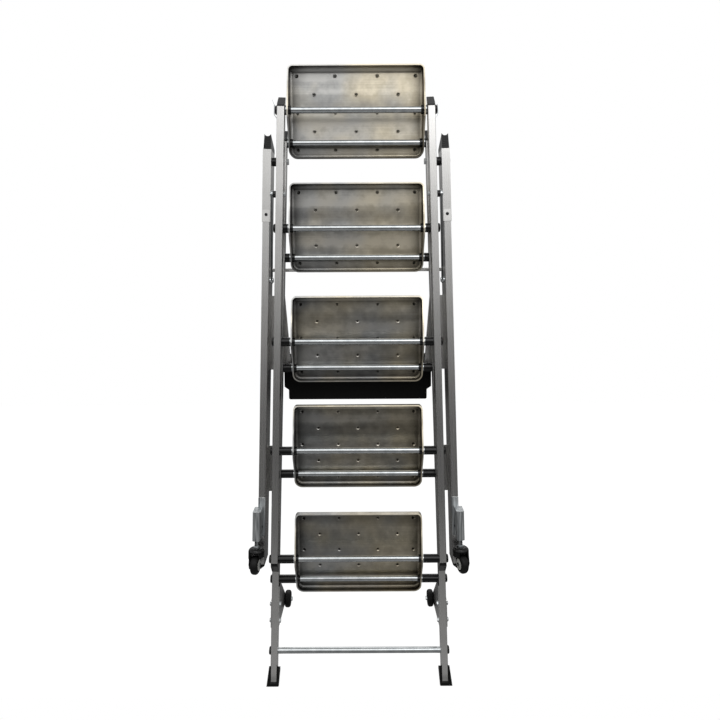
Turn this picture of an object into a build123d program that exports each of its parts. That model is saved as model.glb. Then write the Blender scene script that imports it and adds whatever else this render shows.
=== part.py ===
from build123d import *
import os
from math import sin, cos, tan, atan2, radians, degrees

os.makedirs("parts", exist_ok=True)

# Layout of the folded ladder, millimetres and degrees
TREADS = 5
FIRST_ROD = 365.0
FIRST_PITCH = 355.0
PITCH = 344.0
TREAD_W = 410.0
SPLAY = 2.12
LINK_SPLAY = 1.95
LEAN = 40.1
TREAD_TILT = 2.0
LINK_AHEAD = 45.0
LINK_UP = 87.0

# Clearances
FIT = 0.05
SIDE_GAP = 0.3
SWING_GAP = 0.8

# Stile tube, with its ends above and below the outermost rods
STILE_W = 22.0
STILE_D = 38.0
TUBE_WALL = 2.0
TUBE_R = 2.5
MAIN_OVER = 20.0
LINK_OVER = 23.0
LINK_UNDER = 7.0
LINK_TOP_CUT = 37.0
LINK_BOTTOM_CUT = 42.0
CAP_T = 4.0
LOW_CAP_T = 7.0

# Cross rods and what sits on them
ROD_D = 19.0
ROD_WALL = 1.5
SLEEVE_D = 27.5
MAIN_SLEEVE = 2.3
LINK_SLEEVE = 3.1
BUSH_L = 9.0
WASHER_D = 27.0
WASHER_T = 2.0
END_CAP_D = 27.0
END_CAP_H = 7.0
FOOT_ROD_Z = 115.0
FOOT_ROD_D = 20.0

# Folded sheet treads, measured from the back rod
NOSE = 226.0
BACK = 45.0
PANEL = 26.0
SHEET = 2.0
BEND = 12.0
NOSE_BEND = 20.0
PLAN_R = 16.0
HEEL_R = 25.0
ROD_EDGE = 4.5
NOSE_DEPTH = 32.0
SIDE_DEPTH = 82.0
BACK_DEPTH = 28.0
HEM_T = 4.0
HEM_H = 6.0
STUD_ROWS = 5
STUD_PITCH = 0.2 * (NOSE + BACK)
STUD_R = 8.0
STUD_H = 4.0
PIT_R = 3.4
PIT_H = 4.6

# Boots
BOOT_IN = 18.0
BOOT_OUT = 23.5
BOOT_NECK = 15.0
BOOT_TOP = 72.0
BOOT_FALL = 30.0
TOE = 4.0
HEEL = 5.0
FOOT_TUBE = 15.0

# Rear frame
PIVOT_UNDER = 55.0
LEG_OUT = 45.5
LEG_W = 22.0
LEG_D = 96.0
LEG_AHEAD = 34.0
LEG_OVER = 32.0
LEG_TIP = 14.0
LEG_CAP_H = 44.0
LEG_CAP_BACK = 12.0
SHOE_L = 214.0
SHOE_T = 1.5
SHOE_FLARE = 1.2
SHOE_LIP = 36.0
PIVOT_D = 10.0
PIVOT_BUSH_D = 26.0
CROSS_UNDER = 43.0
CROSS_T = 11.0
PANEL_OVER = 36.0
PANEL_UNDER = 113.0
PANEL_STEP = 32.0
PANEL_NOTCH = 14.0
PANEL_RIM = 14.0
GUSSET_T = 3.0
GUSSET_OVER = 225.0
GUSSET_UNDER = 14.0
GUSSET_REACH = 31.0
LOW_PLATE = 77.0

# Link bars between link stiles and rear legs
LINK_DROP = 101.0
PIN_AHEAD = 17.0
BAR_OUT = 27.0
BAR_T = 4.0
BAR_W = 22.0
BAR_BOLT_D = 8.0
BAR_BUSH_D = 20.0

# Wheels and casters, with heights above the leg ends
WHEEL_R = 30.5
WHEEL_W = 24.0
HUB_R = 17.5
HUB_GROOVE = 1.0
AXLE_D = 8.0
FRONT_AXLE_Y = 179.0
FRONT_WHEEL_R = 30.0
FRONT_WHEEL_W = 21.0
IN_PLATE = 3.0
OUT_PLATE = 2.5
CASTER_OUT = 55.0
CASTER_AHEAD = 75.5
CASTER_TRAIL = 9.0
CASTER_LIFT = 5.0
STEM_D = 12.0
HOOD_UP = 87.0
HOOD_R = 25.0
SOCKET_UP = 111.0
SOCKET_H = 94.0
SOCKET_W = 24.5
STRAP_T = 3.0
STRAP_UP = 236.0
TURN_LEFT = 7.0
TURN_RIGHT = 16.0

# Angles, rod heights and the lines that the stiles follow
TAN_L = tan(radians(LEAN))
COS_L = cos(radians(LEAN))
SIN_L = sin(radians(LEAN))
COS_S = cos(radians(SPLAY))
SIN_S = sin(radians(SPLAY))
HALF_W = STILE_W / 2
HALF_D = STILE_D / 2
FOOT_NEAR = -HALF_D - TOE
BACK_RODS = [FIRST_ROD] + [FIRST_ROD + FIRST_PITCH + k * PITCH for k in range(TREADS - 1)]
FRONT_RODS = [z + LINK_UP for z in BACK_RODS]
RIM = TREAD_W / 2 + SIDE_GAP + WASHER_T
MAIN = (RIM + MAIN_SLEEVE + HALF_W / COS_S + BACK_RODS[-1] * tan(radians(SPLAY)), SPLAY)
LINK = (RIM + LINK_SLEEVE + HALF_W / cos(radians(LINK_SPLAY))
        + FRONT_RODS[-1] * tan(radians(LINK_SPLAY)), LINK_SPLAY)
MAIN_TOP = BACK_RODS[-1] + MAIN_OVER
LINK_TOP = FRONT_RODS[-1] + LINK_OVER
LINK_BOTTOM = FRONT_RODS[0] - LINK_UNDER
BORE_IN = TREAD_W / 4
BORE_OUT = MAIN[0] + 4 * LEG_OUT

# Pivots: the link bars keep their length while the legs swing from folded to plumb
FOLD = 90.0 + LEAN - TREAD_TILT
PIVOT_Z = BACK_RODS[-1] - PIVOT_UNDER
LEG_END = PIVOT_Z - (PIVOT_Z * COS_L + FOOT_NEAR * SIN_L) + 1.0
LINK_PIN_Z = PIVOT_Z - LINK_DROP
OPEN_Y = -LINK_AHEAD * cos(radians(FOLD)) - LINK_UP * sin(radians(FOLD))
OPEN_Z = -LINK_AHEAD * sin(radians(FOLD)) + LINK_UP * cos(radians(FOLD))
OPEN_DROP = LINK_DROP + LINK_UP - OPEN_Z
PIN_SHIFT = 2 * PIN_AHEAD * (OPEN_Y * COS_L - OPEN_DROP * SIN_L + LINK_AHEAD)
LEG_PIN = (OPEN_Y ** 2 + OPEN_DROP ** 2 - LINK_AHEAD ** 2 - LINK_DROP ** 2 + PIN_SHIFT) / (
    2 * (OPEN_DROP * COS_L + OPEN_Y * SIN_L - LINK_DROP))
LEG_PIN_Z = PIVOT_Z - LEG_PIN
FRONT_AXLE_Z = (FRONT_AXLE_Y - FOOT_NEAR) * TAN_L + (FRONT_WHEEL_R + 1) / COS_L

nodes = {}


def stile_x(z, line=MAIN):
    return line[0] - z * tan(radians(line[1]))


def right(shape, line=MAIN):
    return Pos(line[0], 0, 0) * Rot(0, -line[1], 0) * shape


def along(z, line=MAIN):
    return z / cos(radians(line[1]))


def flip(shape):
    return mirror(shape, about=Plane.YZ)


def both(shape):
    return [shape, flip(shape)]


def keep(node, *shapes):
    nodes[node] = [s for shape in shapes for s in shape.solids()]


def keep_pair(node, shape):
    keep(node + "_right", shape)
    keep(node + "_left", flip(shape))


def slant(y, z, angle):
    return Plane((0, y, z), z_dir=(0, -sin(radians(angle)), cos(radians(angle))))


def face_plane(out, line=MAIN):
    angle = radians(line[1])
    return Plane((line[0] + out / cos(angle), 0, 0), z_dir=(cos(angle), 0, sin(angle)))


def above(shape, plane):
    return split(shape, bisect_by=plane, keep=Keep.TOP)


def below(shape, plane):
    return split(shape, bisect_by=plane, keep=Keep.BOTTOM)


def bar(w, d, r, z0, z1, x=0.0, y=0.0):
    return extrude(Plane.XY.offset(z0) * Pos(x, y) * RectangleRounded(w, d, r), z1 - z0)


def tube(w, d, z0, z1, x=0.0, y=0.0):
    inner = bar(w - 2 * TUBE_WALL, d - 2 * TUBE_WALL, TUBE_R - TUBE_WALL, z0 - 1, z1 + 1, x, y)
    return bar(w, d, TUBE_R, z0, z1, x, y) - inner


def block(x0, x1, y0, y1, z0, z1):
    return Pos((x0 + x1) / 2, (y0 + y1) / 2, (z0 + z1) / 2) * Box(x1 - x0, y1 - y0, z1 - z0)


def rod(d, x0, x1, y, z):
    return Pos((x0 + x1) / 2, y, z) * Rot(0, 90, 0) * Cylinder(d / 2, x1 - x0)


def ring(d, bore, x0, x1, y, z):
    return rod(d, x0, x1, y, z) - rod(bore, x0 - 1, x1 + 1, y, z)


def cross_hole(d, y, z):
    return rod(d + 2 * FIT, BORE_IN, BORE_OUT, y, z)


def post(r, h, x, y, z):
    return Pos(x, y, z) * Cylinder(r, h, align=(Align.CENTER, Align.CENTER, Align.MIN))


def dome(d, h, x, y, z):
    disc = post(d / 2, h, 0, 0, 0)
    disc = fillet(disc.edges().group_by(Axis.Z)[-1], 0.6 * h)
    return Pos(x, y, z) * Rot(0, 90, 0) * disc


def hex_nut(d, x0, x1, y, z):
    return extrude(Plane.YZ.offset(x0) * Pos(y, z) * RegularPolygon(d / 2, 6), x1 - x0)


def plate(points, x0, x1):
    return extrude(Plane.YZ.offset(x0) * make_face(Polyline(*points, close=True)), x1 - x0)


def front_plate(points, y0, y1):
    return extrude(Plane.XZ.offset(-y1) * make_face(Polyline(*points, close=True)), y1 - y0)


# Folded sheet tread in its own frame: Y out of the standing face, Z towards the nose
ROD_A_E = LINK_AHEAD * sin(radians(TREAD_TILT)) + LINK_UP * cos(radians(TREAD_TILT))
ROD_A_N = -LINK_AHEAD * cos(radians(TREAD_TILT)) + LINK_UP * sin(radians(TREAD_TILT))


def pan(inset):
    top = PANEL - (SHEET if inset else 0.0)
    depth = NOSE + BACK - 2 * inset
    outline = Rectangle(TREAD_W - 2 * inset, depth)
    outline = fillet(outline.vertices().sort_by(Axis.Y)[2:], PLAN_R - inset)
    outline = fillet(outline.vertices().sort_by(Axis.Y)[:2], HEEL_R - inset)
    outline = Pos(0, (NOSE - BACK) / 2) * outline
    body = extrude(Plane.XZ.offset(-top) * outline, 1.4 * SIDE_DEPTH)
    body = fillet(body.edges().group_by(Axis.Y)[-1], BEND - inset)
    radius = NOSE_BEND - inset
    edge = NOSE - inset
    corner = block(-TREAD_W, TREAD_W, top - radius, top + 1, edge - radius, edge + 1)
    return body - (corner - rod(2 * radius, -TREAD_W - 1, TREAD_W + 1, top - radius, edge - radius))


def under_edge(rise):
    deep = PANEL - SIDE_DEPTH + rise
    front = PANEL - NOSE_DEPTH + rise
    heel = PANEL - BACK_DEPTH + rise
    far = -2 * SIDE_DEPTH
    line = Polyline((front, NOSE + 2), (front, NOSE), (deep, ROD_A_E), (deep, ROD_A_E - 0.75 * WASHER_D))
    curve = Spline(line @ 1, (rise - WASHER_D / 2 - ROD_EDGE, WASHER_D / 3), (heel, -BACK - 2),
                   tangents=[(0.54, -0.84), (0.27, -0.96)])
    rest = Polyline(curve @ 1, (far, -BACK - 2), (far, NOSE + 2), line @ 0)
    face = make_face(line + curve + rest)
    return extrude(Plane.YZ * face, TREAD_W, both=True)


def stud_spots():
    middle = (NOSE - BACK) / 2
    wide = [side * share * TREAD_W for share in (0.439, 0.156) for side in (-1, 1)]
    narrow = [share * TREAD_W for share in (-0.312, 0.0, 0.312)]
    for row in range(STUD_ROWS):
        e = middle + (row - (STUD_ROWS - 1) / 2) * STUD_PITCH
        for x in (narrow if row % 2 else wide):
            yield Pos(x, PANEL, e) * Rot(-90, 0, 0)


def make_tread():
    outer = pan(0.0)
    shape = outer - pan(SHEET)
    shape = shape + ((outer - pan(HEM_T)) & under_edge(HEM_H))
    shape = shape - under_edge(0.0)
    grow = (Align.CENTER, Align.CENTER, Align.MIN)
    mouth = Cone(PIT_R + 2.6, PIT_R, 1.6, align=grow)
    for spot in stud_spots():
        stud = Pos(0, 0, -FIT) * Cone(STUD_R, PIT_R + 1.2, STUD_H, align=grow)
        shape = shape + spot * stud
        shape = shape - spot * Pos(0, 0, -SHEET) * (mouth + Cylinder(PIT_R, PIT_H, align=grow))
    bore = ROD_D + 2 * FIT
    shape = shape - rod(bore, -TREAD_W, TREAD_W, 0, 0)
    shape = shape - rod(bore, -TREAD_W, TREAD_W, ROD_A_N, ROD_A_E)
    return Rot(TREAD_TILT, 0, 0) * shape


tread = make_tread()
for k, z in enumerate(BACK_RODS):
    keep("tread_%d" % (k + 1), Pos(0, 0, z) * tread)


# Cross rods with washers, sleeves and bushes, for either pair of stiles; gives the end caps back
def rod_set(prefix, heights, y, line):
    rods, washers, sleeves, caps = [], [], [], []
    bore = ROD_D + 2 * FIT
    inside = TREAD_W / 2 - HEM_T - SIDE_GAP
    for z in heights:
        end = stile_x(z, line) + HALF_W - 1.0
        hollow = rod(ROD_D - 2 * ROD_WALL, -end - 1, end + 1, y, z)
        rods.append(rod(ROD_D, -end, end, y, z) - hollow)
        washers += both(ring(WASHER_D, bore, RIM - WASHER_T, RIM, y, z))
        sleeves += both(below(ring(SLEEVE_D, bore, RIM, end, y, z), face_plane(-HALF_W, line)))
        sleeves += both(ring(SLEEVE_D - 2, bore, inside - BUSH_L, inside, y, z))
        caps += both(right(dome(END_CAP_D, END_CAP_H, HALF_W, y, along(z, line)), line))
    keep(prefix + "_rods", *rods)
    keep(prefix + "_rod_washers", *washers)
    keep(prefix + "_rod_sleeves", *sleeves)
    return caps


back_caps = rod_set("back", BACK_RODS, 0.0, MAIN)
keep("front_rod_caps", *rod_set("front", FRONT_RODS, -LINK_AHEAD, LINK))

# Rod between the feet, with the same caps on its ends
foot_end = stile_x(FOOT_ROD_Z) + HALF_W - 1.0
foot_rod = rod(FOOT_ROD_D, -foot_end, foot_end, 0, FOOT_ROD_Z)
foot_rod = foot_rod - rod(FOOT_ROD_D - 2 * ROD_WALL, -foot_end - 1, foot_end + 1, 0, FOOT_ROD_Z)
keep("foot_rod", foot_rod)
foot_caps = both(right(dome(END_CAP_D, END_CAP_H, HALF_W, 0, along(FOOT_ROD_Z))))
keep("back_rod_caps", *back_caps, *foot_caps)

# Main stiles stand on the floor, cut level at the top when the ladder is open
foot_cut = slant(-HALF_D, FOOT_TUBE, LEAN)
main = tube(STILE_W, STILE_D, -STILE_D, MAIN_TOP + 2 * STILE_D)
main = below(above(main, foot_cut), slant(0, MAIN_TOP, LEAN))
main = right(main) - cross_hole(FOOT_ROD_D, 0, FOOT_ROD_Z) - cross_hole(PIVOT_D, 0, PIVOT_Z)
for z in BACK_RODS:
    main = main - cross_hole(ROD_D, 0, z)


# Plates that close a slanted tube end
def end_plate(y, z, angle, rise):
    solid = bar(STILE_W, STILE_D, TUBE_R, z - 2 * STILE_D, z + 2 * STILE_D, 0, y)
    return below(above(solid, slant(y, z, angle)), slant(y, z + rise / cos(radians(angle)), angle))


keep("front_stile_caps", *both(right(end_plate(0, MAIN_TOP, LEAN, CAP_T))))

# Boots wrap the stile foot on three sides, leave its near face bare and flare outwards
boot = front_plate([(-BOOT_IN, -TOE), (BOOT_OUT, -TOE), (BOOT_NECK, BOOT_TOP), (-BOOT_IN, BOOT_TOP)],
                   FOOT_NEAR, HALF_D + HEEL)
boot = fillet(boot.edges().filter_by(Axis.Z), 0.8 * TOE)
socket = block(-HALF_W - FIT, HALF_W + FIT, 3 * FOOT_NEAR, HALF_D + FIT, -BOOT_TOP, BOOT_TOP + 1)
boot = below(boot - above(socket, foot_cut), slant(FOOT_NEAR, BOOT_TOP, -BOOT_FALL))
keep_pair("front_foot", above(right(boot), slant(FOOT_NEAR, 0, LEAN)))


# Bolt across the stile with a round head at one end and a hexagon nut at the other
def bolt(d, x0, x1, y, z, head=1.8, nut=0.6):
    shape = rod(d, x0 - nut * d, x1 + nut * d, y, z)
    shape = shape + dome(head * d, nut * d, x1, y, z)
    return shape + hex_nut(head * d, x0 - nut * d, x0, y, z)


# Sheet plates that carry the fixed front wheels, bolted through the stile
AXLE_Z = along(FRONT_AXLE_Z)
PLATE_EDGE = -HALF_D + TOE
wheel_plate = plate([(PLATE_EDGE, AXLE_Z - 4), (PLATE_EDGE, AXLE_Z + 135), (HALF_D - 7, AXLE_Z + 142),
                     (FRONT_AXLE_Y + 8, AXLE_Z + 15), (FRONT_AXLE_Y, AXLE_Z - 17),
                     (HALF_D - 7, AXLE_Z - 6)], -HALF_W - IN_PLATE, -HALF_W)
wheel_plate = wheel_plate + rod(34, -HALF_W - IN_PLATE, -HALF_W, FRONT_AXLE_Y, AXLE_Z)
outer_plate = block(HALF_W, HALF_W + OUT_PLATE, PLATE_EDGE, -PLATE_EDGE, AXLE_Z - 10, AXLE_Z + 86)
outer_plate = fillet(outer_plate.edges().filter_by(Axis.X), 6)
plate_bolts = []
for z in (AXLE_Z + 11, AXLE_Z + 68):
    hole = rod(AXLE_D + 2 * FIT, -3 * STILE_W, 3 * STILE_W, 0, z)
    wheel_plate = wheel_plate - hole
    outer_plate = outer_plate - hole
    main = main - right(hole)
    plate_bolts += both(right(bolt(AXLE_D, -HALF_W - IN_PLATE, HALF_W + OUT_PLATE, 0, z)))
wheel_plate = wheel_plate - rod(AXLE_D + 2 * FIT, -3 * STILE_W, 3 * STILE_W, FRONT_AXLE_Y, AXLE_Z)
keep_pair("front_stile", main)
keep("wheel_plates", *both(right(wheel_plate)), *both(right(outer_plate)))
keep("wheel_plate_bolts", *plate_bolts)


# Wheel about the X axis, centred on the origin: tyre ring and hub
def wheel(radius, width):
    section = Pos(0, (radius + HUB_R) / 2) * Rectangle(width, radius - HUB_R)
    section = fillet(section.vertices().group_by(Axis.Y)[-1], min(radius - HUB_R, width / 2) - 2)
    end = width / 2
    hub = rod(2 * (HUB_R - FIT), -end, end, 0, 0)
    for x0 in (-end - 1, end - HUB_GROOVE):
        hub = hub - ring(1.5 * HUB_R, 0.9 * HUB_R, x0, x0 + 1 + HUB_GROOVE, 0, 0)
    return revolve(section, Axis.X), hub - rod(AXLE_D + 2 * FIT, -width, width, 0, 0)


wheel_x = -HALF_W - IN_PLATE - SIDE_GAP - FRONT_WHEEL_W / 2
tyre, hub = [right(Pos(wheel_x, FRONT_AXLE_Y, AXLE_Z) * s)
             for s in wheel(FRONT_WHEEL_R, FRONT_WHEEL_W)]
keep_pair("front_wheel_tyre", tyre)
keep_pair("front_wheel_hub", hub)
axle = bolt(AXLE_D, wheel_x - FRONT_WHEEL_W / 2 - SIDE_GAP, -HALF_W, FRONT_AXLE_Y, AXLE_Z)
keep("front_wheel_axles", *both(right(axle)))

# Link stiles in front of the main stiles carry the front rods
link_near = -LINK_AHEAD - HALF_D
link = tube(STILE_W, STILE_D, LINK_BOTTOM - 3 * STILE_D, LINK_TOP + 2 * STILE_D, 0, -LINK_AHEAD)
link = below(link, slant(-LINK_AHEAD, LINK_TOP, LINK_TOP_CUT))
link = above(link, slant(link_near, LINK_BOTTOM, -LINK_BOTTOM_CUT))
link = right(link, LINK) - cross_hole(BAR_BOLT_D, -LINK_AHEAD, LINK_PIN_Z)
for z in FRONT_RODS:
    link = link - cross_hole(ROD_D, -LINK_AHEAD, z)
keep_pair("link_stile", link)
top_cap = end_plate(-LINK_AHEAD, LINK_TOP, LINK_TOP_CUT, CAP_T)
keep("link_stile_top_caps", *both(right(top_cap, LINK)))
bottom_mid = LINK_BOTTOM - HALF_D * tan(radians(LINK_BOTTOM_CUT))
bottom_drop = LOW_CAP_T / cos(radians(LINK_BOTTOM_CUT))
bottom_cap = end_plate(-LINK_AHEAD, bottom_mid - bottom_drop, -LINK_BOTTOM_CUT, LOW_CAP_T)
keep("link_stile_bottom_caps", *both(right(bottom_cap, LINK)))

# Spring strips stand over the top rod caps and flare outwards
STRIP_Z = along(FRONT_RODS[-1], LINK) - END_CAP_D / 2
STRIP_X = HALF_W + END_CAP_H + 1.5
STRIP_W = 8.0
STRIP_T = 1.4
STRIP_FOOT = STRIP_Z - 1.1 * END_CAP_D
STRIP_STEP = STRIP_Z - 0.4 * END_CAP_D
STRIP_LIP = STRIP_Z + 1.05 * END_CAP_D
STRIP_END = STRIP_Z + 1.5 * END_CAP_D
FLARE = 0.2 * END_CAP_D
strip = front_plate([(HALF_W, STRIP_FOOT), (HALF_W, STRIP_STEP), (STRIP_X, STRIP_Z),
                     (STRIP_X, STRIP_LIP), (STRIP_X + FLARE, STRIP_END),
                     (STRIP_X + FLARE + STRIP_T, STRIP_END), (STRIP_X + STRIP_T, STRIP_LIP - 0.5),
                     (STRIP_X + STRIP_T, STRIP_Z - 0.8), (HALF_W + STRIP_T, STRIP_STEP - 0.8),
                     (HALF_W + STRIP_T, STRIP_FOOT)], -LINK_AHEAD - STRIP_W, -LINK_AHEAD + STRIP_W)
keep("catch_strips", *both(right(strip, LINK)))

# Link bars run from the link stiles down to the rear legs
bar_top = Vector(stile_x(LINK_PIN_Z) + BAR_OUT, -LINK_AHEAD, LINK_PIN_Z)
bar_end = Vector(stile_x(LEG_PIN_Z) + BAR_OUT, -PIN_AHEAD, LEG_PIN_Z)
run = bar_end - bar_top
across = Vector(0, -run.Z, run.Y)
bar_plane = Plane((bar_top + bar_end) * 0.5, x_dir=run, z_dir=run.cross(across))
link_bar = extrude(bar_plane * SlotCenterToCenter(run.length, BAR_W), BAR_T / 2, both=True)
for point in (bar_top, bar_end):
    link_bar = link_bar - cross_hole(BAR_BOLT_D, point.Y, point.Z)
keep_pair("link_bar", link_bar)
bar_in = bar_top.X - BAR_T / 2 - SWING_GAP
bush = ring(BAR_BUSH_D, BAR_BOLT_D + 2 * FIT, bar_in - STILE_W, bar_in, -LINK_AHEAD, LINK_PIN_Z)
keep("link_bar_bushes", *both(above(bush, face_plane(HALF_W, LINK))))
HEAD_D = 1.9 * BAR_BOLT_D
NUT_T = 5.0
HEAD_T = 3.0
nut_in = stile_x(LINK_PIN_Z, LINK) - HALF_W - SWING_GAP
head_x = bar_top.X + BAR_T / 2 + SWING_GAP
bar_bolt = rod(BAR_BOLT_D, nut_in - NUT_T, head_x + 1, -LINK_AHEAD, LINK_PIN_Z)
bar_bolt = bar_bolt + hex_nut(HEAD_D, nut_in - NUT_T, nut_in, -LINK_AHEAD, LINK_PIN_Z)
bar_bolt = bar_bolt + dome(HEAD_D, HEAD_T, head_x, -LINK_AHEAD, LINK_PIN_Z)
keep("link_bar_bolts", *both(bar_bolt))
leg_side = LEG_OUT - LEG_W / 2
pin_end = stile_x(LEG_PIN_Z) + leg_side - SWING_GAP
pin_in = bar_end.X - BAR_T / 2 - SWING_GAP / 2
pin = rod(BAR_BOLT_D, pin_in - 1, pin_end, -PIN_AHEAD, LEG_PIN_Z)
pin = pin + flip(dome(HEAD_D, HEAD_T, -pin_in, -PIN_AHEAD, LEG_PIN_Z))
pin = pin + rod(HEAD_D, bar_end.X + BAR_T / 2 + SWING_GAP / 2, pin_end, -PIN_AHEAD, LEG_PIN_Z)
keep("link_bar_pins", *both(pin))

# Pivots that carry the rear legs on the main stiles
pivot_x = stile_x(PIVOT_Z)
pivot_in = pivot_x + leg_side - SWING_GAP
pivot_bush = ring(PIVOT_BUSH_D, PIVOT_D + 2 * FIT, pivot_in - LEG_OUT, pivot_in, 0, PIVOT_Z)
keep("rear_pivot_bushes", *both(above(pivot_bush, face_plane(HALF_W))))
pivot_nut = pivot_x - HALF_W - SWING_GAP
pivot_head = pivot_x + leg_side + LEG_W + SWING_GAP
pivot_bolt = rod(PIVOT_D, pivot_nut - NUT_T, pivot_head + 1, 0, PIVOT_Z)
pivot_bolt = pivot_bolt + hex_nut(1.9 * PIVOT_D, pivot_nut - NUT_T, pivot_nut, 0, PIVOT_Z)
pivot_bolt = pivot_bolt + dome(1.9 * PIVOT_D, NUT_T, pivot_head, 0, PIVOT_Z)
keep("rear_pivot_bolts", *both(pivot_bolt))

# Rear legs: deep box tubes beside the stiles when folded and plumb when open
LEG_NEAR = -LEG_AHEAD
LEG_FAR = LEG_D - LEG_AHEAD
LEG_MID = (LEG_NEAR + LEG_FAR) / 2
LEG_TOP = PIVOT_Z + LEG_OVER
SHOE_LOW = LEG_TOP - SHOE_L
SHOE_SCREW = SHOE_LOW + 0.6 * SHOE_LIP
STRAP_SCREW = LEG_END + 0.6 * STRAP_UP
SCREW_R = 2.0
HEAD_R = 4.5
leg_foot = LEG_END + LEG_TIP


def facing(shape, near, z):
    return Pos(LEG_OUT, near, z) * Rot(90, 0, 0) * shape


leg = tube(LEG_W, LEG_D, leg_foot, LEG_TOP, LEG_OUT, LEG_MID)
for z in (SHOE_SCREW, STRAP_SCREW):
    leg = leg - facing(Cylinder(SCREW_R + FIT, 4 * TUBE_WALL), LEG_NEAR, z)
keep_pair("rear_leg", right(leg) - cross_hole(PIVOT_D, 0, PIVOT_Z))

# Ribbed caps on the leg tops slope down towards the back and carry a saddle groove
leg_out = leg_side + LEG_W
cap_top = LEG_TOP + LEG_CAP_H
cap_fall = degrees(atan2(LEG_CAP_H - LEG_CAP_BACK, LEG_D))
cap = front_plate([(leg_side, LEG_TOP), (leg_out, LEG_TOP), (leg_out - 2.5, cap_top), (leg_side, cap_top)],
                  LEG_NEAR, LEG_FAR)
cap = below(cap, slant(LEG_NEAR, cap_top, -cap_fall))
SADDLE_R = 0.48 * LEG_W
saddle = Pos(LEG_OUT - 1, LEG_NEAR, cap_top + 5) * Rot(90 - cap_fall, 0, 0)
cap = cap - saddle * Cylinder(SADDLE_R, 3 * LEG_D)
RIB = LEG_CAP_H / 7
for k in range(5):
    rib_z = LEG_TOP + RIB * (k + 0.9)
    cap = cap - block(leg_side - 1, leg_out + 1, LEG_NEAR - 1, LEG_NEAR + 1.2, rib_z, rib_z + 0.35 * RIB)
keep("rear_leg_caps", *both(right(cap)))

# Channel sleeves over the near edge of the upper legs, flared at the foot and held by a screw
shoe_near = LEG_NEAR - SHOE_T
shoe = block(leg_side - SHOE_T, leg_out + SHOE_T, shoe_near, LEG_NEAR + 20, SHOE_LOW, LEG_TOP)
shoe = shoe + plate([(shoe_near, SHOE_LOW), (shoe_near - SHOE_FLARE, SHOE_LOW),
                     (shoe_near, SHOE_LOW + SHOE_LIP)], leg_side, leg_out)
shoe = shoe - bar(LEG_W + 2 * FIT, LEG_D, TUBE_R / 2, SHOE_LOW - 1, LEG_TOP + 1, LEG_OUT, LEG_MID)
shoe = shoe - facing(post(HEAD_R + 1, 10, 0, 0, SHOE_T), LEG_NEAR, SHOE_SCREW)
shoe = shoe - facing(Cylinder(SCREW_R + FIT, 4 * TUBE_WALL), LEG_NEAR, SHOE_SCREW)
keep("rear_leg_sleeves", *both(right(shoe)))


def screw(near, z):
    head = post(HEAD_R, 2.6, 0, 0, near)
    head = fillet(head.edges().group_by(Axis.Z)[-1], 1.6)
    return facing(head + post(SCREW_R, near + 4, 0, 0, -4), LEG_NEAR, z)


screws = both(right(screw(SHOE_T, SHOE_SCREW))) + both(right(screw(STRAP_T, STRAP_SCREW)))
keep("rear_leg_screws", *screws)

# Rubber tips plugged into the leg ends, chamfered on the inner side
CHAMFER = 0.45 * LEG_W
tip = bar(LEG_W, LEG_D, TUBE_R, LEG_END - 5, leg_foot, LEG_OUT, LEG_MID)
tip = tip - front_plate([(leg_side - 1, LEG_END - 6), (leg_side + CHAMFER, LEG_END - 6),
                         (leg_side + CHAMFER, LEG_END), (leg_side - 1, LEG_END + 9)], -LEG_D, LEG_D)
plug = 2 * (TUBE_WALL + FIT)
tip = tip + bar(LEG_W - plug, LEG_D - plug, 0.6, leg_foot - 1, leg_foot + 12, LEG_OUT, LEG_MID)
keep("rear_leg_tips", *both(above(right(tip), Plane((0, 0, LEG_END), z_dir=(0, 0, 1)))))

# Cross bar, dark panel and corner plates on the backs of the legs
GRIP = LEG_OUT + 8
CROSS_Z = BACK_RODS[-2] - CROSS_UNDER
bar_half = stile_x(CROSS_Z) + GRIP
cross = block(-bar_half, bar_half, LEG_FAR, LEG_FAR + CROSS_T, CROSS_Z, CROSS_Z + CROSS_T)
keep("rear_cross_bar", fillet(cross.edges().filter_by(Axis.X), 2))
MID_ROD = BACK_RODS[TREADS // 2]
PANEL_HALF = stile_x(MID_ROD) - 7.0
PANEL_NEAR = LEG_FAR + GUSSET_T


def panel_outline(inset):
    half = PANEL_HALF - inset
    top = MID_ROD + PANEL_OVER - inset
    low = MID_ROD - PANEL_UNDER + inset
    step = low - inset + PANEL_STEP
    foot = half - PANEL_NOTCH
    return [(-half, top), (half, top), (half, step + 10), (foot, step), (foot, low), (-foot, low),
            (-foot, step), (-half, step + 10)]


panel = front_plate(panel_outline(0), PANEL_NEAR, PANEL_NEAR + PANEL_RIM)
panel = fillet(panel.edges().filter_by(Axis.Y).sort_by(Axis.Z)[:2], 6)
panel = panel - front_plate(panel_outline(3), PANEL_NEAR + 3, PANEL_NEAR + PANEL_RIM + 1)
keep("rear_panel", panel)


def corner_plate(z_top, z_low, reach_top, reach_low, round_off):
    high_x = stile_x(z_top)
    low_x = stile_x(z_low)
    outline = Polyline((high_x + GRIP, z_top), (high_x - reach_top, z_top),
                       (low_x - reach_low, z_low + round_off), (low_x - reach_low / 2, z_low),
                       (low_x + GRIP, z_low), close=True)
    shape = extrude(Plane.XZ.offset(-LEG_FAR - GUSSET_T) * make_face(outline), GUSSET_T)
    return fillet(shape.edges().filter_by(Axis.Y).sort_by(Axis.X)[:2], round_off / 2)


gusset = corner_plate(MID_ROD + GUSSET_OVER, MID_ROD - GUSSET_UNDER, 6.0, GUSSET_REACH, 16.0)
low_plate = corner_plate(BACK_RODS[1] + LOW_PLATE, BACK_RODS[1] - LOW_PLATE, 4.0, 4.0, 4.0)
keep("rear_corner_plates", *both(gusset), *both(low_plate))

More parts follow.
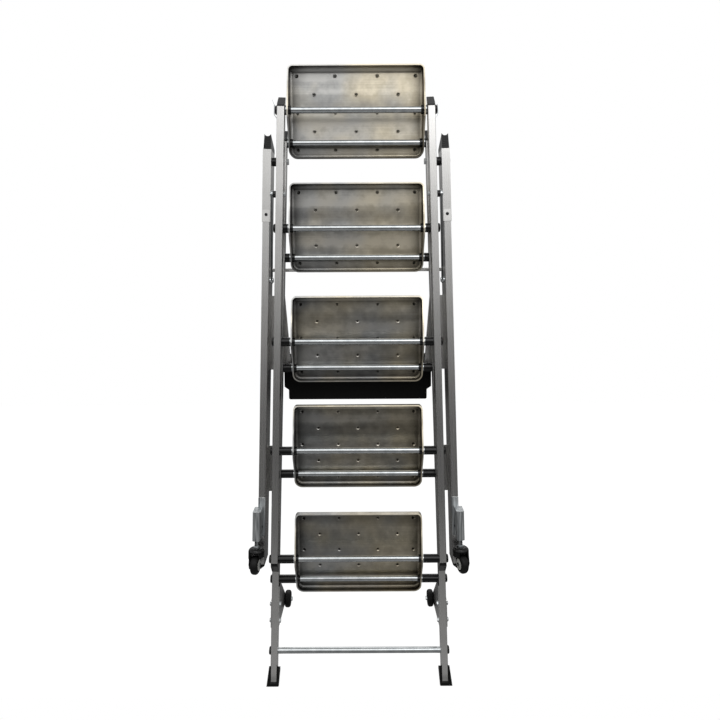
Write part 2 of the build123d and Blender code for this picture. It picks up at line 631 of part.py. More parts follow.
# Caster brackets: a strap on the leg, a flat roof, side plates and a socket for the stem
CASTER_Y = -CASTER_AHEAD
SOCKET_LOW = LEG_END + SOCKET_UP
SOCKET_TOP = SOCKET_LOW + SOCKET_H
STRAP_TOP = LEG_END + STRAP_UP
strap_y = LEG_NEAR - STRAP_T
far_x = CASTER_OUT + SOCKET_W / 2
near_x = CASTER_OUT - SOCKET_W / 2
socket_y = CASTER_Y - SOCKET_W / 2
bracket = block(leg_side, leg_out, strap_y, LEG_NEAR, SOCKET_LOW, STRAP_TOP)
bracket = bracket + block(leg_side, far_x, strap_y, LEG_NEAR, SOCKET_TOP - 0.4 * SOCKET_H, SOCKET_TOP)
bracket = bracket + block(near_x, far_x, socket_y + 5, LEG_NEAR, SOCKET_TOP - STRAP_T, SOCKET_TOP)
housing = bar(SOCKET_W, SOCKET_W, 7, SOCKET_LOW, SOCKET_TOP, CASTER_OUT, CASTER_Y)
hollow = bar(SOCKET_W - 4, SOCKET_W - 4, 5, SOCKET_LOW + 3, SOCKET_TOP - STRAP_T, CASTER_OUT, CASTER_Y)
bracket = bracket + housing
for x in (near_x, far_x - STRAP_T):
    bracket = bracket + plate([(strap_y + 1, SOCKET_TOP), (CASTER_Y, SOCKET_TOP),
                               (CASTER_Y, SOCKET_LOW + 20), (CASTER_Y + 14, SOCKET_LOW + 16),
                               (CASTER_Y + 27, SOCKET_LOW + 24), (strap_y + 1, SOCKET_LOW + 60)],
                              x, x + STRAP_T)
bracket = bracket - hollow - post(STEM_D / 2 + FIT, 10, CASTER_OUT, CASTER_Y, SOCKET_LOW - 5)
bracket = bracket - facing(post(SCREW_R + FIT, 10, 0, 0, -1), LEG_NEAR, STRAP_SCREW)
keep_pair("caster_bracket", right(bracket))

# Swivel casters: stem and axle, fork open on the inner side, tyre and hub
axle_z = along(LEG_END + CASTER_LIFT + WHEEL_R - CASTER_OUT * SIN_S)
HOOD_TOP = LEG_END + HOOD_UP
CHEEK = 5.0
CROWN_LOW = axle_z + WHEEL_R + 8.0
LIP_LOW = CROWN_LOW - 13.0
cheek_in = WHEEL_W / 2 + 1.5


def caster(side, turn, place):
    def settle(shape):
        return place(right(Pos(CASTER_OUT, CASTER_Y, 0) * Rot(0, 0, turn) * shape))

    hood = Cylinder(HOOD_R, 1.36 * HOOD_R, align=(Align.CENTER, Align.CENTER, Align.MAX))
    hood = Pos(0, 0, HOOD_TOP) * fillet(hood.edges().group_by(Axis.Z)[-1], 0.52 * HOOD_R)
    wide = 2 * HOOD_R
    deep = axle_z - 2 * WHEEL_R
    hood = hood - block(-cheek_in, cheek_in, -wide, wide, deep, CROWN_LOW)
    hood = hood - block(-wide, -cheek_in, -wide, wide, deep, LIP_LOW)
    cheek = plate([(-20, HOOD_TOP - 24), (18, HOOD_TOP - 24), (8, axle_z), (-CASTER_TRAIL + 8, axle_z - 12),
                   (-CASTER_TRAIL - 8, axle_z - 12), (-24, axle_z + 4)], cheek_in, cheek_in + CHEEK)
    hood = hood + cheek
    hood = hood - rod(AXLE_D + 2 * FIT, -2 * HOOD_R, 2 * HOOD_R, -CASTER_TRAIL, axle_z)
    stem_low = HOOD_TOP - STEM_D
    stem = post(STEM_D / 2, SOCKET_LOW + 30 - stem_low, 0, 0, stem_low)
    collar = post(10, 4, 0, 0, HOOD_TOP)
    hood = hood - post(STEM_D / 2 + FIT, 2 * STEM_D, 0, 0, stem_low)
    pin = bolt(AXLE_D, -WHEEL_W / 2 - SIDE_GAP, cheek_in + CHEEK, -CASTER_TRAIL, axle_z, 1.6, 0.35)
    keep("caster_fork_" + side, settle(hood))
    keep("caster_pins_" + side, settle(stem + collar), settle(pin))
    tyre, hub = wheel(WHEEL_R, WHEEL_W)
    seat = Pos(0, -CASTER_TRAIL, axle_z)
    keep("caster_tyre_" + side, settle(seat * tyre))
    keep("caster_hub_" + side, settle(seat * hub))


caster("right", TURN_RIGHT, lambda shape: shape)
caster("left", TURN_LEFT, flip)

# Every piece goes out about the centre of the folded ladder's footprint
box = Compound([s for solids in nodes.values() for s in solids]).bounding_box()
shift = -(box.min.Y + box.max.Y) / 2
print("shift Y", round(shift, 3), "box", box.min, box.max)
print("leg pin below pivot", round(LEG_PIN, 3), "leg end", round(LEG_END, 3), "fold", FOLD)
print("foot half", round(MAIN[0], 4), "link foot", round(LINK[0], 4))
print("front axle z", round(FRONT_AXLE_Z, 4), "caster axle z", round(axle_z, 4), "hood", round(HOOD_TOP, 3))
for node, solids in nodes.items():
    moved = [Pos(0, shift, 0) * s for s in solids]
    shape = moved[0] if len(moved) == 1 else Compound(moved)
    export_step(shape, "parts/%s.step" % node)
print(len(nodes), "nodes")
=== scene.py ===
import bpy
import bmesh
import math
from mathutils import Matrix, Vector

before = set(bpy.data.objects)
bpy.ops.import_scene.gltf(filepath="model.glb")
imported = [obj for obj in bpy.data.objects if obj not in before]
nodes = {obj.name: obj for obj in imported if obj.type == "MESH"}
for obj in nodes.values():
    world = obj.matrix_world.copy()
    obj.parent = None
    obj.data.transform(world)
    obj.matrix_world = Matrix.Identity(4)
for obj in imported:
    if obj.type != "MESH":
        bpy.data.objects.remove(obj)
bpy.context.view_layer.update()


# Main stiles and link stiles: rounded box tubes in extruded aluminium, left satin from the die.
# Two long pairs, the link pair in front of the main pair, both leaning inwards about two degrees.
# The eye gets pale metal with soft reflections, drawn out along each tube by fine die lines.
MM = 0.001


def linear(code):
    parts = [int(code[i:i + 2], 16) / 255 for i in (0, 2, 4)]
    return [p / 12.92 if p <= 0.04045 else ((p + 0.055) / 1.055) ** 2.4 for p in parts] + [1.0]


# Adds one node: stops fill a colour ramp, sockets are linked and plain values are set
def add(owner, kind, settings, inputs):
    node = owner.node_tree.nodes.new(kind)
    for key, value in settings.items():
        if key == "stops":
            points = node.color_ramp.elements
            points.remove(points[1])
            points[0].position, points[0].color = value[0]
            for spot, colour in value[1:]:
                points.new(spot).color = colour
        else:
            setattr(node, key, value)
    for key, value in inputs.items():
        if isinstance(value, bpy.types.NodeSocket):
            owner.node_tree.links.new(value, node.inputs[key])
        else:
            node.inputs[key].default_value = value
    return node


def new_finish(name):
    finish = bpy.data.materials.new(name)
    finish.use_nodes = True
    finish.node_tree.nodes.clear()
    return finish


def dress(finish, *names):
    for name in names:
        nodes[name].data.materials.clear()
        nodes[name].data.materials.append(finish)


# The die lines are coarser than the real ones so that they show, and follow the lean of the tubes
DIE_LINE = 2 * MM
DIE_RUN = 600 * MM
CLOUDING = 120 * MM
LEAN_IN = math.tan(math.radians(2.1))
satin_aluminium = new_finish("satin_extruded_aluminium")
place = add(satin_aluminium, "ShaderNodeTexCoord", {}, {})
apart = add(satin_aluminium, "ShaderNodeSeparateXYZ", {}, {"Vector": place.outputs["Object"]})
side = add(satin_aluminium, "ShaderNodeMath", {"operation": "ABSOLUTE"}, {0: apart.outputs["X"]})
across = add(satin_aluminium, "ShaderNodeMath", {"operation": "MULTIPLY_ADD"},
             {0: apart.outputs["Z"], 1: LEAN_IN, 2: side.outputs["Value"]})
drawn = add(satin_aluminium, "ShaderNodeCombineXYZ", {},
            {"X": across.outputs["Value"], "Y": apart.outputs["Y"], "Z": apart.outputs["Z"]})
die_map = add(satin_aluminium, "ShaderNodeMapping", {},
              {"Vector": drawn.outputs["Vector"], "Scale": (1 / DIE_LINE, 1 / DIE_LINE, 1 / DIE_RUN)})
die_lines = add(satin_aluminium, "ShaderNodeTexNoise", {},
                {"Vector": die_map.outputs["Vector"], "Scale": 1.0, "Detail": 3.0})
cloud = add(satin_aluminium, "ShaderNodeTexNoise", {},
            {"Vector": place.outputs["Object"], "Scale": 1 / CLOUDING, "Detail": 5.0, "Roughness": 0.6})
marks = add(satin_aluminium, "ShaderNodeMath", {"operation": "MULTIPLY_ADD"},
            {0: die_lines.outputs["Fac"], 1: 0.4, 2: cloud.outputs["Fac"]})
tone = add(satin_aluminium, "ShaderNodeValToRGB",
           {"stops": [(0.45, linear("CFCECC")), (0.95, linear("DDDCDA"))]}, {"Fac": marks.outputs["Value"]})
sheen = add(satin_aluminium, "ShaderNodeMapRange", {},
            {"Value": die_lines.outputs["Fac"], "To Min": 0.22, "To Max": 0.32})
relief = add(satin_aluminium, "ShaderNodeBump", {},
             {"Height": die_lines.outputs["Fac"], "Strength": 0.12, "Distance": 0.2 * MM})
skin = add(satin_aluminium, "ShaderNodeBsdfPrincipled", {},
           {"Base Color": tone.outputs["Color"], "Metallic": 1.0,
            "Roughness": sheen.outputs["Result"], "Normal": relief.outputs["Normal"]})
add(satin_aluminium, "ShaderNodeOutputMaterial", {}, {"Surface": skin.outputs["BSDF"]})
dress(satin_aluminium, "front_stile_left", "front_stile_right", "link_stile_left", "link_stile_right")

# End caps of the stiles: black moulded polyamide plugs, flush with the tube.
# The mould's spark grain, drawn coarser than it is so that it shows, breaks up the gloss.
SPARK_GRAIN = 1.2 * MM
RUBBED_SPOT = 25 * MM
moulded_black = new_finish("black_moulded_polyamide")
place = add(moulded_black, "ShaderNodeTexCoord", {}, {})
grain = add(moulded_black, "ShaderNodeTexNoise", {},
            {"Vector": place.outputs["Object"], "Scale": 1 / SPARK_GRAIN, "Detail": 2.0})
rubbed = add(moulded_black, "ShaderNodeTexNoise", {},
             {"Vector": place.outputs["Object"], "Scale": 1 / RUBBED_SPOT, "Detail": 4.0})
tone = add(moulded_black, "ShaderNodeValToRGB",
           {"stops": [(0.3, linear("050506")), (0.7, linear("0E0E0F"))]}, {"Fac": grain.outputs["Fac"]})
dull = add(moulded_black, "ShaderNodeMapRange", {},
           {"Value": rubbed.outputs["Fac"], "To Min": 0.22, "To Max": 0.38})
relief = add(moulded_black, "ShaderNodeBump", {},
             {"Height": grain.outputs["Fac"], "Strength": 0.1, "Distance": 0.2 * MM})
skin = add(moulded_black, "ShaderNodeBsdfPrincipled", {},
           {"Base Color": tone.outputs["Color"], "Roughness": dull.outputs["Result"], "IOR": 1.53,
            "Specular IOR Level": 0.35, "Normal": relief.outputs["Normal"]})
add(moulded_black, "ShaderNodeOutputMaterial", {}, {"Surface": skin.outputs["BSDF"]})
dress(moulded_black, "front_stile_caps", "link_stile_top_caps", "link_stile_bottom_caps")

# Boots on the stile feet: moulded rubber, matt and a little dusty from the floor.
# Each wraps three sides of the tube and is cut to lie flat when the ladder stands open.
DUST_SPOT = 8 * MM
black_rubber = new_finish("black_moulded_rubber")
place = add(black_rubber, "ShaderNodeTexCoord", {}, {})
dust = add(black_rubber, "ShaderNodeTexNoise", {},
           {"Vector": place.outputs["Object"], "Scale": 1 / DUST_SPOT, "Detail": 6.0, "Roughness": 0.65})
tone = add(black_rubber, "ShaderNodeValToRGB",
           {"stops": [(0.35, linear("070707")), (0.6, linear("0D0D0D")), (0.8, linear("1B1A18"))]},
           {"Fac": dust.outputs["Fac"]})
relief = add(black_rubber, "ShaderNodeBump", {},
             {"Height": dust.outputs["Fac"], "Strength": 0.3, "Distance": 0.4 * MM})
skin = add(black_rubber, "ShaderNodeBsdfPrincipled", {},
           {"Base Color": tone.outputs["Color"], "Roughness": 0.5, "IOR": 1.5,
            "Specular IOR Level": 0.22, "Normal": relief.outputs["Normal"]})
add(black_rubber, "ShaderNodeOutputMaterial", {}, {"Surface": skin.outputs["BSDF"]})
dress(black_rubber, "front_foot_left", "front_foot_right")

# Treads: mill-finish aluminium sheet folded into a pan, hemmed round the edge and punched with studs.
# The eye gets blurred bands and stains, with painted light over them: a cooler, darker grey painted at the
# left and a warmer one at the right, and painted shade in the folds.
# Rolling marks run from side to side, coarser than the real ones so that they show.
ROLL_MARK = 2.5 * MM
ROLL_RUN = 250 * MM
BAND_SIZE = (800 * MM, 100 * MM, 50 * MM)
STAIN_SPOT = 30 * MM
PAINTED_TINT_PATCH = 160 * MM
PAINTED_SHADE_REACH = 60 * MM
PAINTED_WARM_PER_METRE = 0.85
mill_sheet = new_finish("mill_finish_aluminium_sheet")
place = add(mill_sheet, "ShaderNodeTexCoord", {}, {})
roll_map = add(mill_sheet, "ShaderNodeMapping", {},
               {"Vector": place.outputs["Object"], "Scale": (1 / ROLL_RUN, 1 / ROLL_MARK, 1 / ROLL_MARK)})
roll_marks = add(mill_sheet, "ShaderNodeTexNoise", {},
                 {"Vector": roll_map.outputs["Vector"], "Scale": 1.0, "Detail": 4.0})
band_map = add(mill_sheet, "ShaderNodeMapping", {},
               {"Vector": place.outputs["Object"], "Scale": [1 / size for size in BAND_SIZE]})
bands = add(mill_sheet, "ShaderNodeTexNoise", {},
            {"Vector": band_map.outputs["Vector"], "Scale": 1.0, "Detail": 1.0})
stain = add(mill_sheet, "ShaderNodeTexNoise", {},
            {"Vector": place.outputs["Object"], "Scale": 1 / STAIN_SPOT, "Detail": 6.0, "Roughness": 0.62})
painted_tint_patch = add(mill_sheet, "ShaderNodeTexNoise", {},
            {"Vector": place.outputs["Object"], "Scale": 1 / PAINTED_TINT_PATCH, "Detail": 2.0})
bands_and_stain = add(mill_sheet, "ShaderNodeMath", {"operation": "MULTIPLY_ADD"},
                      {0: stain.outputs["Fac"], 1: 0.5, 2: bands.outputs["Fac"]})
all_marks = add(mill_sheet, "ShaderNodeMath", {"operation": "MULTIPLY_ADD"},
                {0: roll_marks.outputs["Fac"], 1: 0.2, 2: bands_and_stain.outputs["Value"]})
# Painted light: the sheet is painted cooler and darker towards the left and warmer towards the right, as if
# lit from that side
painted_cool_left = add(mill_sheet, "ShaderNodeValToRGB",
           {"stops": [(0.6, linear("7F7F7F")), (0.85, linear("9F9F9D")), (1.0, linear("BBBAB7"))]},
           {"Fac": all_marks.outputs["Value"]})
painted_warm_right = add(mill_sheet, "ShaderNodeValToRGB",
           {"stops": [(0.6, linear("978F7E")), (0.85, linear("B8AF9B")), (1.0, linear("D3CAB6"))]},
           {"Fac": all_marks.outputs["Value"]})
apart = add(mill_sheet, "ShaderNodeSeparateXYZ", {}, {"Vector": place.outputs["Object"]})
painted_tint_position = add(mill_sheet, "ShaderNodeMath", {"operation": "MULTIPLY_ADD"},
               {0: apart.outputs["X"], 1: PAINTED_WARM_PER_METRE, 2: painted_tint_patch.outputs["Fac"]})
painted_warm_share = add(mill_sheet, "ShaderNodeMapRange", {},
                 {"Value": painted_tint_position.outputs["Value"], "From Min": 0.36, "From Max": 0.64})
painted_side_tint = add(mill_sheet, "ShaderNodeMix", {"data_type": "RGBA"},
           {"Factor": painted_warm_share.outputs["Result"], 6: painted_cool_left.outputs["Color"], 7: painted_warm_right.outputs["Color"]})
# Painted shade: the colour is pulled towards near-black in the folds, hems and stud pits, where shade falls
painted_fold_shade = add(mill_sheet, "ShaderNodeAmbientOcclusion", {"samples": 8, "only_local": True},
             {"Distance": PAINTED_SHADE_REACH})
unshaded_share = add(mill_sheet, "ShaderNodeMapRange", {},
                 {"Value": painted_fold_shade.outputs["AO"], "From Min": 0.38, "From Max": 0.92})
tone = add(mill_sheet, "ShaderNodeMix", {"data_type": "RGBA"},
           {"Factor": unshaded_share.outputs["Result"], 6: linear("1A1917"), 7: painted_side_tint.outputs[2]})
sheen = add(mill_sheet, "ShaderNodeMapRange", {},
            {"Value": stain.outputs["Fac"], "To Min": 0.24, "To Max": 0.38})
relief = add(mill_sheet, "ShaderNodeBump", {},
             {"Height": roll_marks.outputs["Fac"], "Strength": 0.15, "Distance": 0.2 * MM})
skin = add(mill_sheet, "ShaderNodeBsdfPrincipled", {},
           {"Base Color": tone.outputs[2], "Metallic": 1.0,
            "Roughness": sheen.outputs["Result"], "Normal": relief.outputs["Normal"]})
add(mill_sheet, "ShaderNodeOutputMaterial", {}, {"Surface": skin.outputs["BSDF"]})
dress(mill_sheet, "tread_1", "tread_2", "tread_3", "tread_4", "tread_5")

# Cross rods, foot rod and washers: drawn steel tube with bright zinc plating.
# The rods run through the treads from stile to stile.
# The plating is smooth, with a faint bloom, so each rod shows one bright line along its length.
ZINC_BLOOM = 20 * MM
bright_zinc = new_finish("bright_zinc_plated_steel")
place = add(bright_zinc, "ShaderNodeTexCoord", {}, {})
bloom = add(bright_zinc, "ShaderNodeTexNoise", {},
            {"Vector": place.outputs["Object"], "Scale": 1 / ZINC_BLOOM, "Detail": 5.0})
tone = add(bright_zinc, "ShaderNodeValToRGB",
           {"stops": [(0.3, linear("A9ADAF")), (0.7, linear("C3C6C7"))]}, {"Fac": bloom.outputs["Fac"]})
sheen = add(bright_zinc, "ShaderNodeMapRange", {},
            {"Value": bloom.outputs["Fac"], "To Min": 0.08, "To Max": 0.18})
skin = add(bright_zinc, "ShaderNodeBsdfPrincipled", {},
           {"Base Color": tone.outputs["Color"], "Metallic": 1.0, "Roughness": sheen.outputs["Result"]})
add(bright_zinc, "ShaderNodeOutputMaterial", {}, {"Surface": skin.outputs["BSDF"]})
dress(bright_zinc, "foot_rod", "back_rods", "front_rods", "back_rod_washers", "front_rod_washers")

# Sleeves between treads and stiles, bushes inside the treads and domed caps on the rod ends.
# All slip over the rods and are moulded in black polyamide from a polished mould.
# The eye gets deep black with a thin sharp highlight, dulled here and there by scuffs.
SCUFF_SPOT = 10 * MM
gloss_black = new_finish("glossy_black_polyamide")
place = add(gloss_black, "ShaderNodeTexCoord", {}, {})
scuff = add(gloss_black, "ShaderNodeTexNoise", {},
            {"Vector": place.outputs["Object"], "Scale": 1 / SCUFF_SPOT, "Detail": 5.0, "Roughness": 0.6})
tone = add(gloss_black, "ShaderNodeValToRGB",
           {"stops": [(0.3, linear("030303")), (0.7, linear("080808"))]}, {"Fac": scuff.outputs["Fac"]})
dull = add(gloss_black, "ShaderNodeMapRange", {},
           {"Value": scuff.outputs["Fac"], "To Min": 0.10, "To Max": 0.26})
skin = add(gloss_black, "ShaderNodeBsdfPrincipled", {},
           {"Base Color": tone.outputs["Color"], "Roughness": dull.outputs["Result"], "IOR": 1.53,
            "Specular IOR Level": 0.28})
add(gloss_black, "ShaderNodeOutputMaterial", {}, {"Surface": skin.outputs["BSDF"]})
dress(gloss_black, "back_rod_sleeves", "front_rod_sleeves", "back_rod_caps", "front_rod_caps")

# Wheel plates at the foot: cut aluminium sheet bolted through the stile, dull like the tubes.
# The bolts, and the bolts the wheels turn on, are zinc plated.
dress(satin_aluminium, "wheel_plates")
dress(bright_zinc, "wheel_plate_bolts", "front_wheel_axles")

# Front wheels: black rubber tyres pressed on black moulded hubs.
# They turn on their bolts and touch the floor only when the folded ladder is tipped back.
dress(black_rubber, "front_wheel_tyre_left", "front_wheel_tyre_right")
dress(moulded_black, "front_wheel_hub_left", "front_wheel_hub_right")

# Rear legs: deep extruded box tubes, with a sheet channel over the upper part of each.
# Ribbed polyamide caps close the tops and rubber tips the feet.
dress(satin_aluminium, "rear_leg_left", "rear_leg_right", "rear_leg_sleeves")
dress(moulded_black, "rear_leg_caps")
dress(black_rubber, "rear_leg_tips")

# Screws on the legs: pan heads in blackened steel.
# The oxide is finished in oil, so they stay dark with a dull gleam.
OIL_SPOT = 3 * MM
black_oxide = new_finish("black_oxide_steel")
place = add(black_oxide, "ShaderNodeTexCoord", {}, {})
oil = add(black_oxide, "ShaderNodeTexNoise", {},
          {"Vector": place.outputs["Object"], "Scale": 1 / OIL_SPOT, "Detail": 3.0})
tone = add(black_oxide, "ShaderNodeValToRGB",
           {"stops": [(0.3, linear("2A2A2C")), (0.7, linear("3B3B3D"))]}, {"Fac": oil.outputs["Fac"]})
skin = add(black_oxide, "ShaderNodeBsdfPrincipled", {},
           {"Base Color": tone.outputs["Color"], "Metallic": 1.0, "Roughness": 0.4})
add(black_oxide, "ShaderNodeOutputMaterial", {}, {"Surface": skin.outputs["BSDF"]})
dress(black_oxide, "rear_leg_screws")

# Leg pivots and link bars: flat zinc-plated bars on bolts, spaced off the tubes by black bushes.
# Spring strips of the same steel stand over the top rod caps and hold the folded ladder shut.
dress(bright_zinc, "rear_pivot_bolts", "link_bar_bolts", "link_bar_left", "link_bar_right", "link_bar_pins",
      "catch_strips")
dress(moulded_black, "rear_pivot_bushes", "link_bar_bushes")

# Cross bar and corner plates on the backs of the legs, in dull aluminium.
# A panel of matt black plastic sheet, rimmed at the back, closes the middle.
# Its hair-cell grain, drawn coarser than it is, leaves hardly any shine.
HAIR_CELL = 2 * MM
dress(satin_aluminium, "rear_cross_bar", "rear_corner_plates")
black_sheet = new_finish("matt_black_plastic_sheet")
place = add(black_sheet, "ShaderNodeTexCoord", {}, {})
hair_cells = add(black_sheet, "ShaderNodeTexNoise", {},
                 {"Vector": place.outputs["Object"], "Scale": 1 / HAIR_CELL, "Detail": 3.0})
tone = add(black_sheet, "ShaderNodeValToRGB",
           {"stops": [(0.3, linear("030303")), (0.7, linear("070707"))]},
           {"Fac": hair_cells.outputs["Fac"]})
relief = add(black_sheet, "ShaderNodeBump", {},
             {"Height": hair_cells.outputs["Fac"], "Strength": 0.2, "Distance": 0.2 * MM})
skin = add(black_sheet, "ShaderNodeBsdfPrincipled", {},
           {"Base Color": tone.outputs["Color"], "Roughness": 0.6, "Specular IOR Level": 0.15,
            "Normal": relief.outputs["Normal"]})
add(black_sheet, "ShaderNodeOutputMaterial", {}, {"Surface": skin.outputs["BSDF"]})
dress(black_sheet, "rear_panel")

# Caster brackets and stems: pressed and turned steel, zinc plated, fixed low on the rear legs.
# Light and dark streaks are painted down each bracket as its highlights.
PAINTED_STREAK_WIDTH = 5 * MM
PAINTED_STREAK_RUN = 100 * MM
pressed_zinc = new_finish("zinc_plated_pressing")
place = add(pressed_zinc, "ShaderNodeTexCoord", {}, {})
painted_streak_map = add(pressed_zinc, "ShaderNodeMapping", {},
                 {"Vector": place.outputs["Object"],
                  "Scale": (1 / PAINTED_STREAK_WIDTH, 1 / PAINTED_STREAK_WIDTH, 1 / PAINTED_STREAK_RUN)})
painted_highlight_streaks = add(pressed_zinc, "ShaderNodeTexNoise", {},
              {"Vector": painted_streak_map.outputs["Vector"], "Scale": 1.0, "Detail": 3.0})
# Painted highlights: the streaks lighten and darken the base colour down each bracket
tone = add(pressed_zinc, "ShaderNodeValToRGB",
           {"stops": [(0.35, linear("8B8F91")), (0.65, linear("D6D9DA"))]}, {"Fac": painted_highlight_streaks.outputs["Fac"]})
sheen = add(pressed_zinc, "ShaderNodeMapRange", {},
            {"Value": painted_highlight_streaks.outputs["Fac"], "To Min": 0.30, "To Max": 0.55})
skin = add(pressed_zinc, "ShaderNodeBsdfPrincipled", {},
           {"Base Color": tone.outputs["Color"], "Metallic": 1.0, "Roughness": sheen.outputs["Result"]})
add(pressed_zinc, "ShaderNodeOutputMaterial", {}, {"Surface": skin.outputs["BSDF"]})
dress(pressed_zinc, "caster_bracket_left", "caster_bracket_right")
dress(bright_zinc, "caster_pins_left", "caster_pins_right")

# Caster forks and wheels: glossy black forks that swivel on the stems, with black rubber tyres.
# The hubs are moulded in grey polypropylene, which has a soft sheen and faint flow marks.
FLOW_MARK = 6 * MM
hub_grey = new_finish("grey_moulded_polypropylene")
place = add(hub_grey, "ShaderNodeTexCoord", {}, {})
flow = add(hub_grey, "ShaderNodeTexNoise", {},
           {"Vector": place.outputs["Object"], "Scale": 1 / FLOW_MARK, "Detail": 3.0})
tone = add(hub_grey, "ShaderNodeValToRGB",
           {"stops": [(0.3, linear("A2A29E")), (0.7, linear("B8B8B3"))]}, {"Fac": flow.outputs["Fac"]})
skin = add(hub_grey, "ShaderNodeBsdfPrincipled", {},
           {"Base Color": tone.outputs["Color"], "Roughness": 0.4, "IOR": 1.49})
add(hub_grey, "ShaderNodeOutputMaterial", {}, {"Surface": skin.outputs["BSDF"]})
dress(hub_grey, "caster_hub_left", "caster_hub_right")
dress(gloss_black, "caster_fork_left", "caster_fork_right")
dress(black_rubber, "caster_tyre_left", "caster_tyre_right")

# Floor: a plain pale sheet under and behind the ladder that keeps its shadow.
# It shows white to the eye; in the metal it is a quarter as bright at the feet, and fades from there.
# It starts just before the feet, so that the treads mirror the room in front and not the floor.
FLOOR_HALF_WIDTH = 4.0
FLOOR_NEAR = -0.12
FLOOR_FAR = 4.88
POOL_INNER = 0.25
POOL_OUTER = 0.6
MIRRORED_NEAR = 0.25
MIRRORED_FAR = 0.08
SEEN_GLOW = 1.15
SEEN_SHARE = 0.8
WHITE = (1, 1, 1, 1)
floor_mesh = bpy.data.meshes.new("floor")
sheet = bmesh.new()
bmesh.ops.create_grid(sheet, x_segments=1, y_segments=1, size=1.0)
floor_size = Matrix.Diagonal((FLOOR_HALF_WIDTH, (FLOOR_FAR - FLOOR_NEAR) / 2, 1, 1))
floor_place = Matrix.Translation((0, (FLOOR_FAR + FLOOR_NEAR) / 2, 0))
bmesh.ops.transform(sheet, matrix=floor_place @ floor_size, verts=sheet.verts)
sheet.to_mesh(floor_mesh)
sheet.free()
floor = bpy.data.objects.new("floor", floor_mesh)
bpy.context.collection.objects.link(floor)
pale_floor = new_finish("pale_floor")
place = add(pale_floor, "ShaderNodeTexCoord", {}, {})
reach = add(pale_floor, "ShaderNodeVectorMath", {"operation": "LENGTH"}, {0: place.outputs["Object"]})
pool = add(pale_floor, "ShaderNodeMapRange", {},
           {"Value": reach.outputs["Value"], "From Min": POOL_INNER, "From Max": POOL_OUTER,
            "To Min": MIRRORED_NEAR, "To Max": MIRRORED_FAR})
path = add(pale_floor, "ShaderNodeLightPath", {}, {})
seen = add(pale_floor, "ShaderNodeMath", {"operation": "MAXIMUM"},
           {0: path.outputs["Is Camera Ray"], 1: path.outputs["Is Transmission Ray"]})
mirrored = add(pale_floor, "ShaderNodeMath", {"operation": "MULTIPLY"},
               {0: path.outputs["Is Glossy Ray"], 1: pool.outputs["Result"]})
strength = add(pale_floor, "ShaderNodeMath", {"operation": "MULTIPLY_ADD"},
               {0: seen.outputs["Value"], 1: SEEN_GLOW, 2: mirrored.outputs["Value"]})
glow_share = add(pale_floor, "ShaderNodeMath", {"operation": "MULTIPLY_ADD"},
                 {0: seen.outputs["Value"], 1: SEEN_SHARE, 2: path.outputs["Is Glossy Ray"]})
matt = add(pale_floor, "ShaderNodeBsdfDiffuse", {}, {"Color": linear("E6E6E4")})
glow = add(pale_floor, "ShaderNodeEmission", {}, {"Color": WHITE, "Strength": strength.outputs["Value"]})
mixed = add(pale_floor, "ShaderNodeMixShader", {},
            {0: glow_share.outputs["Value"], 1: matt.outputs["BSDF"], 2: glow.outputs["Emission"]})
add(pale_floor, "ShaderNodeOutputMaterial", {}, {"Surface": mixed.outputs["Shader"]})
floor_mesh.materials.append(pale_floor)

# Studio: a room bright above eye level, dark below it and dim near the floor, for the metal to mirror.
# To the eye it is white all round; in the metal, the upper backdrop is white at half strength.
# Each stop is a height, from straight down at 0 to straight up at 1, and the light that comes from it.
ROOM_LIGHT = [(0.0, 0.36), (0.22, 0.37), (0.28, 0.33), (0.32, 0.05), (0.40, 0.025), (0.45, 0.12),
              (0.48, 0.38), (0.53, 0.42), (0.56, 0.95), (0.58, 1.0), (1.0, 0.7)]
world = bpy.data.worlds.new("studio")
bpy.context.scene.world = world
world.use_nodes = True
world.node_tree.nodes.clear()
toward = add(world, "ShaderNodeTexCoord", {}, {})
split = add(world, "ShaderNodeSeparateXYZ", {}, {"Vector": toward.outputs["Generated"]})
height = add(world, "ShaderNodeMapRange", {},
             {"Value": split.outputs["Z"], "From Min": -1.0, "From Max": 1.0})
room = add(world, "ShaderNodeValToRGB",
           {"stops": [(spot, (light, light, light, 1)) for spot, light in ROOM_LIGHT]},
           {"Fac": height.outputs["Result"]})
behind = add(world, "ShaderNodeMapRange", {},
             {"Value": split.outputs["Y"], "From Min": 0.1, "From Max": 0.5})
high = add(world, "ShaderNodeMapRange", {},
           {"Value": split.outputs["Z"], "From Min": 0.1, "From Max": 0.4, "To Max": 0.5})
path = add(world, "ShaderNodeLightPath", {}, {})
backdrop = add(world, "ShaderNodeMath", {"operation": "MULTIPLY"},
               {0: behind.outputs["Result"], 1: high.outputs["Result"]})
mirrored = add(world, "ShaderNodeMath", {"operation": "MULTIPLY"},
               {0: backdrop.outputs["Value"], 1: path.outputs["Is Glossy Ray"]})
seen = add(world, "ShaderNodeMath", {"operation": "MAXIMUM"},
           {0: path.outputs["Is Camera Ray"], 1: path.outputs["Is Transmission Ray"]})
white_share = add(world, "ShaderNodeMath", {"operation": "MAXIMUM"},
                  {0: seen.outputs["Value"], 1: mirrored.outputs["Value"]})
dim_back = add(world, "ShaderNodeMapRange", {},
               {"Value": split.outputs["Y"], "From Min": 0.0, "From Max": 0.4,
                "To Min": 1.0, "To Max": 0.3})
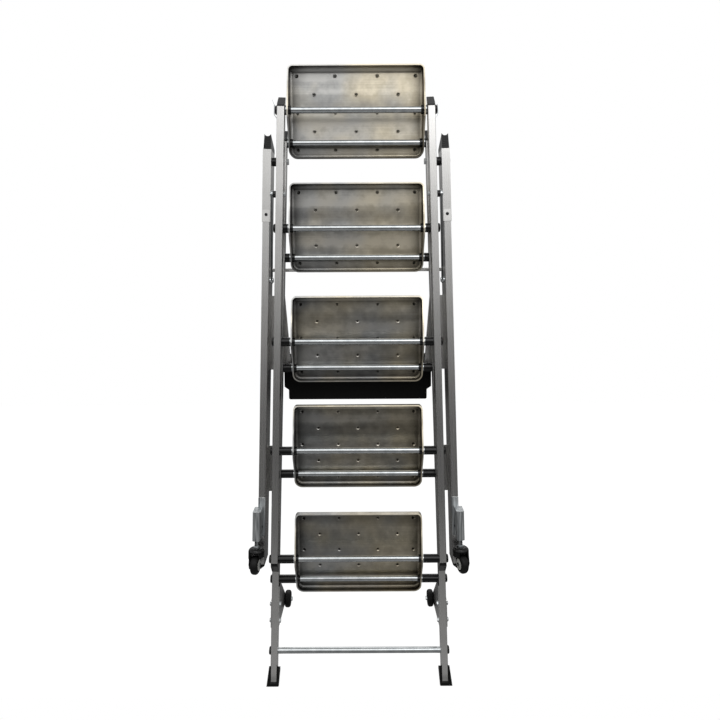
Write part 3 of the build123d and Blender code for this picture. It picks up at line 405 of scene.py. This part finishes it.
dimmed_room = add(world, "ShaderNodeMix", {"data_type": "RGBA", "blend_type": "MULTIPLY"},
                  {"Factor": 1.0, 6: room.outputs["Color"], 7: dim_back.outputs["Result"]})
colour = add(world, "ShaderNodeMix", {"data_type": "RGBA"},
             {"Factor": white_share.outputs["Value"], 6: dimmed_room.outputs[2], 7: WHITE})
sky = add(world, "ShaderNodeBackground", {}, {"Color": colour.outputs[2], "Strength": 1.0})
add(world, "ShaderNodeOutputWorld", {}, {"Surface": sky.outputs["Background"]})


# Softboxes: a key and a fill above the camera and one high behind the ladder, all at a plain level.
# Each is a rectangular area lamp aimed at the middle of the ladder.
def softbox(name, spot, aim, size, watts):
    lamp = bpy.data.lights.new(name, "AREA")
    lamp.shape = "RECTANGLE"
    lamp.size, lamp.size_y = size
    lamp.energy = watts
    holder = bpy.data.objects.new(name, lamp)
    bpy.context.collection.objects.link(holder)
    holder.location = spot
    holder.rotation_euler = (Vector(aim) - Vector(spot)).to_track_quat("-Z", "Y").to_euler()


softbox("key_softbox", spot=(-0.6, -2.4, 3.6), aim=(0, 0, 1.2), size=(3.0, 2.0), watts=26)
softbox("fill_softbox", spot=(1.2, -2.8, 3.0), aim=(0, 0, 1.0), size=(2.0, 1.6), watts=12)
softbox("back_softbox", spot=(0.3, 2.6, 3.4), aim=(0, 0, 1.0), size=(3.0, 2.0), watts=26)

# Camera: just right of centre at chest height, seven degrees down and rolled a third of a degree.
# Its height and distance put the rods and treads where the photograph has them.
CAMERA_SPOT = (0.0076, -2.2376, 1.3647)
LOOK_DOWN = math.radians(7.2)
ROLL = math.radians(-0.3)
lens = bpy.data.cameras.new("camera")
lens.sensor_width = 36.0
lens.lens = 35.0
lens.clip_start, lens.clip_end = 0.05, 50.0
camera = bpy.data.objects.new("camera", lens)
bpy.context.collection.objects.link(camera)
camera.matrix_world = (Matrix.Translation(CAMERA_SPOT)
                       @ Matrix.Rotation(math.pi / 2 - LOOK_DOWN, 4, "X")
                       @ Matrix.Rotation(ROLL, 4, "Z"))
bpy.context.scene.camera = camera
bpy.context.scene.view_settings.view_transform = "Standard"
